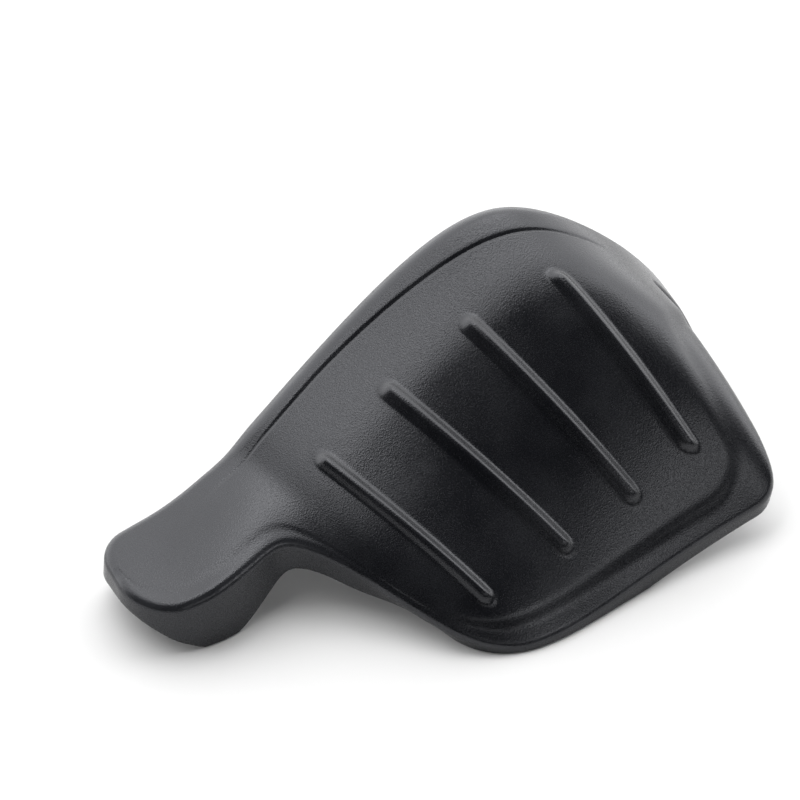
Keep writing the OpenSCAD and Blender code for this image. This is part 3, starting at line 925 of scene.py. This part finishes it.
def new_group(name, inputs, outputs):
    """A node group with named sockets, and its Group Input and Group Output nodes."""
    group = bpy.data.node_groups.new(name, "ShaderNodeTree")
    for way, sockets in (("INPUT", inputs), ("OUTPUT", outputs)):
        for title, kind in sockets:
            group.interface.new_socket(name=title, socket_type="NodeSocket" + kind, in_out=way)
    return group, group.nodes.new("NodeGroupInput"), group.nodes.new("NodeGroupOutput")


# %% A node group for the moulded grain
FLOW_SCALE, CELL_SHARE, NOISE_SHARE = 28, 0.7, 0.8


def grain_group():
    """Height of the grain and a slow flow wave, from Object coordinates in metres. The height is
    the distance to the nearest cell's middle, with noise of about the same size added."""
    group, entry, outlet = new_group("moulded_grain", [("Vector", "Vector"), ("Grain Size", "Float")],
                                     [("Height", "Float"), ("Flow", "Float")])
    place = entry.outputs["Vector"]
    per_grain = math_node(group, "DIVIDE", 1 / MM, entry.outputs["Grain Size"])
    grains = group.nodes.new("ShaderNodeTexVoronoi")
    grains.feature = "F1"
    feed(group, place, grains.inputs["Vector"])
    feed(group, per_grain, grains.inputs["Scale"])
    noise = noise_node(group, place, math_node(group, "MULTIPLY", per_grain, NOISE_SHARE), 2.0)
    domes = math_node(group, "MULTIPLY", grains.outputs["Distance"], CELL_SHARE)
    feed(group, math_node(group, "ADD", domes, noise), outlet.inputs["Height"])
    feed(group, noise_node(group, place, FLOW_SCALE, 3.0), outlet.inputs["Flow"])
    return group


moulded_grain = grain_group()
print("the grain's group has", len(moulded_grain.nodes), "nodes")

# %% [markdown]
# ## The marks of the mould
#
# Inside, the mould has left its own marks: a grid of fine lines near the foot, a few rings where
# pins pushed the warm part out, and the seam of an insert. They are under 0.2 mm high, so they
# are bump and not mesh. They follow the face, so they are drawn on its own two distances, along
# and across, which every point carries as the attribute "flat".

# %% A node group for the marks of the mould
GRID_AT, GRID_SIZE, GRID_CELL = (64.6, 18.4), (39.2, 16.8), 2.8
LINE_HALF_W, LINE_SOFT, GRID_ROOM, PIN_LINE_HALF_W = 0.12, 0.15, 0.1, 0.1
PINS = [(26, 31), (118, 24), (176, 52), (238, 30), (236, 104), (168, 118), (318, 24)]
PIN_R = 4.0
INSERT_ACROSS, INSERT_FROM, INSERT_TO = 38.0, 70.0, 290.0


def marks_group():
    """1 on the lines that the mould leaves inside, from millimetres along and across the face."""
    group, entry, outlet = new_group("mould_marks", [("Vector", "Vector")], [("Mask", "Float")])
    apart = group.nodes.new("ShaderNodeSeparateXYZ")
    feed(group, entry.outputs["Vector"], apart.inputs[0])

    def within(value, middle, half):
        """1 where value is at most half away from middle."""
        away = math_node(group, "ABSOLUTE", math_node(group, "SUBTRACT", value, middle))
        return range_node(group, away, half, half + LINE_SOFT, 1.0, 0.0)

    def grid_lines(value, middle, size):
        """1 on every line of the grid, where the next multiple of the cell is near."""
        start = math_node(group, "SUBTRACT", value, middle - size / 2)
        return within(math_node(group, "PINGPONG", start, GRID_CELL / 2), 0.0, LINE_HALF_W)

    lines = [grid_lines(apart.outputs[k], GRID_AT[k], GRID_SIZE[k]) for k in (0, 1)]
    fields = [within(apart.outputs[k], GRID_AT[k], GRID_SIZE[k] / 2 + GRID_ROOM) for k in (0, 1)]
    mask = math_node(group, "MULTIPLY", math_node(group, "MAXIMUM", *lines),
                     math_node(group, "MULTIPLY", *fields))
    for x, y in PINS:
        away = group.nodes.new("ShaderNodeVectorMath")
        away.operation = "DISTANCE"
        away.inputs[1].default_value = (x, y, 0)
        feed(group, entry.outputs["Vector"], away.inputs[0])
        pin_ring = within(away.outputs["Value"], PIN_R, PIN_LINE_HALF_W)
        mask = math_node(group, "MAXIMUM", mask, pin_ring)
    length = within(apart.outputs[0], (INSERT_FROM + INSERT_TO) / 2, (INSERT_TO - INSERT_FROM) / 2)
    line = math_node(group, "MULTIPLY", within(apart.outputs[1], INSERT_ACROSS, LINE_HALF_W), length)
    feed(group, math_node(group, "MAXIMUM", mask, line), outlet.inputs["Mask"])
    return group


mould_marks = marks_group()
print("the marks' group has", len(mould_marks.nodes), "nodes")

# %% The black plastic
BLACK = (0.0048, 0.0052, 0.0068, 1)
WORN = (0.022, 0.023, 0.026, 1)
SHEEN_TINT = (0.94, 0.95, 1.0, 1)
GRAIN_SIZE, GRAIN_DEPTH, MARK_DEPTH, INSIDE_LESS_GRAIN, FULLY_INSIDE = 0.6, 0.06 * MM, 3.0, 0.6, 0.99
BASE_ROUGHNESS, RUBBED_SHINE, INSIDE_SHINE = 0.27, 0.08, 0.06
RUB_SCALE, RUBBED_SHARE = 90, 0.8

# Two values of a noise or height, and what they become
WORN_RANGE, SPOT_RANGE = (0.35, 0.65, 0.3, 1.0), (0.35, 0.75, 0.0, 0.5)
SPECKLE_RANGE, FLOW_RANGE = (0.5, 1.1, 0.05, -0.05), (0.3, 0.7, -0.03, 0.03)


def point_value(tree, name, output="Fac"):
    """What the piece's attribute of this name says at each point."""
    node = tree.nodes.new("ShaderNodeAttribute")
    node.attribute_name = name
    return node.outputs[output]


def with_group(tree, group, vector):
    """A node group in the material, fed with a place."""
    node = tree.nodes.new("ShaderNodeGroup")
    node.node_tree = group
    feed(tree, vector, node.inputs["Vector"])
    return node


def plastic():
    """Black grained plastic: roughness, colour and bump change with grain, flow, wear and side."""
    material = bpy.data.materials.new("black_moulded_plastic")
    material.use_nodes = True
    tree = material.node_tree
    shader = tree.nodes["Principled BSDF"]
    shader.inputs["Specular IOR Level"].default_value = 0.5
    shader.inputs["Specular Tint"].default_value = SHEEN_TINT
    place = tree.nodes.new("ShaderNodeTexCoord").outputs["Object"]
    grain = with_group(tree, moulded_grain, place)
    grain.inputs["Grain Size"].default_value = GRAIN_SIZE
    marks = with_group(tree, mould_marks, point_value(tree, "flat", "Vector"))
    inner = point_value(tree, "inside")
    rub_noise = noise_node(tree, place, RUB_SCALE, 4.0, 0.6)
    worn_spots = range_node(tree, rub_noise, *WORN_RANGE, smooth=True)
    rubbed = math_node(tree, "MULTIPLY", point_value(tree, "fold"), worn_spots)

    mix = tree.nodes.new("ShaderNodeMix")
    mix.data_type = "RGBA"
    mix.inputs["A"].default_value = BLACK
    mix.inputs["B"].default_value = WORN
    spots = range_node(tree, grain.outputs["Flow"], *SPOT_RANGE)
    rubbed_pale = math_node(tree, "MULTIPLY", rubbed, RUBBED_SHARE)
    feed(tree, math_node(tree, "ADD", spots, rubbed_pale, clamp=True), mix.inputs["Factor"])
    feed(tree, mix.outputs["Result"], shader.inputs["Base Color"])

    speckle = range_node(tree, grain.outputs["Height"], *SPECKLE_RANGE)
    swing = range_node(tree, grain.outputs["Flow"], *FLOW_RANGE)
    rough = math_node(tree, "ADD", math_node(tree, "ADD", BASE_ROUGHNESS, speckle), swing)
    rough = math_node(tree, "SUBTRACT", rough, math_node(tree, "MULTIPLY", rubbed, RUBBED_SHINE))
    shine = math_node(tree, "MULTIPLY", inner, INSIDE_SHINE)
    feed(tree, math_node(tree, "SUBTRACT", rough, shine, clamp=True), shader.inputs["Roughness"])

    bump = tree.nodes.new("ShaderNodeBump")
    bump.inputs["Distance"].default_value = GRAIN_DEPTH
    less = math_node(tree, "MULTIPLY", inner, INSIDE_LESS_GRAIN)
    grain_height = math_node(tree, "MULTIPLY", grain.outputs["Height"],
                             math_node(tree, "SUBTRACT", 1.0, less))
    only_inside = math_node(tree, "GREATER_THAN", inner, FULLY_INSIDE)
    inside_marks = math_node(tree, "MULTIPLY", marks.outputs["Mask"], only_inside)
    mark_height = math_node(tree, "MULTIPLY", inside_marks, MARK_DEPTH)
    feed(tree, math_node(tree, "SUBTRACT", grain_height, mark_height), bump.inputs["Height"])
    feed(tree, bump.outputs["Normal"], shader.inputs["Normal"])
    return material


black_plastic = plastic()
print(black_plastic.name, "has", len(black_plastic.node_tree.nodes), "nodes")

# %% The shell
shell = make_piece("guard_shell_moulding", to_frame(points), cells, black_plastic)
for name, values in (("inside", inside), ("fold", folded), ("flat", flat)):
    add_attribute(shell, name, values)
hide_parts("guard_shell")
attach(shell, "root")

# %% [markdown]
# ## The camera
#
# The photograph looks down at the guard from 44 degrees above the table and from the left of its
# free edge, about 1.2 m away. The lens follows from that distance and from the photograph's 2.2
# pixels per millimetre, so the guard has the right size in the picture and the right perspective.

# %% Camera
PIXELS, PIXELS_PER_MM, SENSOR_W = 800, 2.2, 36
AIM = to_frame((0, 0, 0))
DISTANCE = 1200 * MM
TOWARDS_CAMERA = np.array([-0.36, -0.623, 0.695])
camera_data = bpy.data.cameras.new("camera")
camera_data.sensor_width = SENSOR_W
camera_data.lens = SENSOR_W * PIXELS_PER_MM * (DISTANCE / MM) / PIXELS
camera_data.clip_start = 50 * MM
camera = bpy.data.objects.new("camera", camera_data)
bpy.context.scene.collection.objects.link(camera)
camera.location = Vector(AIM + unit(TOWARDS_CAMERA) * DISTANCE)
camera.rotation_mode = "QUATERNION"
camera.rotation_quaternion = Vector(-TOWARDS_CAMERA).to_track_quat("-Z", "Y")
bpy.context.scene.camera = camera
print("lens %.1f mm" % camera_data.lens)

# %% [markdown]
# ## The table
#
# The guard lies on a white table that fills the picture. It could be a curved backdrop, but the
# camera looks down, so one large square does. Its colour is a pale grey: full light turns it
# white in the picture, and the shadow next to the guard stays grey.

# %% Table
TABLE_W, TABLE_COLOUR, TABLE_ROUGHNESS = 3.0, (0.7, 0.7, 0.7, 1), 0.6


def table_material():
    """Pale and matt."""
    material = bpy.data.materials.new("white_table")
    material.use_nodes = True
    shader = material.node_tree.nodes["Principled BSDF"]
    shader.inputs["Base Color"].default_value = TABLE_COLOUR
    shader.inputs["Roughness"].default_value = TABLE_ROUGHNESS
    return material


def floor_piece():
    """A flat square round the origin."""
    half = TABLE_W / 2
    corners = np.array([[-half, -half, 0], [half, -half, 0], [half, half, 0], [-half, half, 0]])
    piece = make_piece("table", corners, np.array([[0, 1, 2, 3]]), table_material())


floor_piece()

# %% [markdown]
# ## The light
#
# Black plastic shows hardly any colour of its own, so its picture is a picture of the room. The
# strip and the foot, which look pale in the photograph, face up and back. The dark middle of the
# wing faces up and forward. So the room is bright behind the guard and dark in front of the
# zenith, with a long lamp just behind the zenith, and three weaker ones in front and at the right
# that keep the flanks from going black. A plain white world would be simpler, but it would turn
# the whole guard grey. The camera doesn't see the room: for its rays the world is white.

# %% Lamps
# Name, place and size in metres, and power in watts
LAMPS = [
    ("top_strip", (-0.15, 0.3, 1.45), (1.8, 0.25), 5.0),
    ("front_strip", (0.1, -1.35, 0.75), (2.2, 0.3), 2.0),
    ("corner_lamp", (0.45, -1.2, 0.9), (0.6, 0.25), 1.2),
    ("right_panel", (1.2, -0.3, 1.1), (0.8, 0.8), 2.8),
]
LAMP_TARGET = Vector((0, 0, 0.03))


def lamp(name, place, size, power):
    """A soft box that faces the guard. The camera looks through it."""
    data = bpy.data.lights.new(name, "AREA")
    data.shape = "RECTANGLE"
    data.size, data.size_y = size
    data.energy = power
    made = bpy.data.objects.new(name, data)
    bpy.context.scene.collection.objects.link(made)
    made.location = place
    made.rotation_mode = "QUATERNION"
    made.rotation_quaternion = (LAMP_TARGET - Vector(place)).to_track_quat("-Z", "Y")
    made.visible_camera = False


for row in LAMPS:
    lamp(*row)
print(len(LAMPS), "lamps of", sum(row[3] for row in LAMPS), "watts")


# %% World
BACKWARDS = (0.3, 0.95, 0.0)
ROOM_RANGE = (-0.02, 0.16, 0.02, 2.9)
WHITE = (1, 1, 1, 1)


def studio_world():
    """Bright behind, dark in front and overhead, white where the camera looks. The brightness
    follows how far a direction points backwards, which is its dot product with BACKWARDS."""
    world = bpy.data.worlds.new("studio")
    bpy.context.scene.world = world
    world.use_nodes = True
    tree = world.node_tree
    side = tree.nodes.new("ShaderNodeVectorMath")
    side.operation = "DOT_PRODUCT"
    side.inputs[1].default_value = BACKWARDS
    feed(tree, tree.nodes.new("ShaderNodeTexCoord").outputs["Generated"], side.inputs[0])
    room = tree.nodes["Background"]
    room.inputs["Color"].default_value = WHITE
    graded = range_node(tree, side.outputs["Value"], *ROOM_RANGE, smooth=True)
    feed(tree, graded, room.inputs["Strength"])
    white = tree.nodes.new("ShaderNodeBackground")
    white.inputs["Color"].default_value = WHITE
    white.inputs["Strength"].default_value = 1
    rays = tree.nodes.new("ShaderNodeLightPath")
    mix = tree.nodes.new("ShaderNodeMixShader")
    feed(tree, rays.outputs["Is Camera Ray"], mix.inputs["Fac"])
    feed(tree, room.outputs["Background"], mix.inputs[1])
    feed(tree, white.outputs["Background"], mix.inputs[2])
    feed(tree, mix.outputs["Shader"], tree.nodes["World Output"].inputs["Surface"])
    return world


print("world:", studio_world().name)
bpy.context.scene.view_settings.view_transform = "Standard"
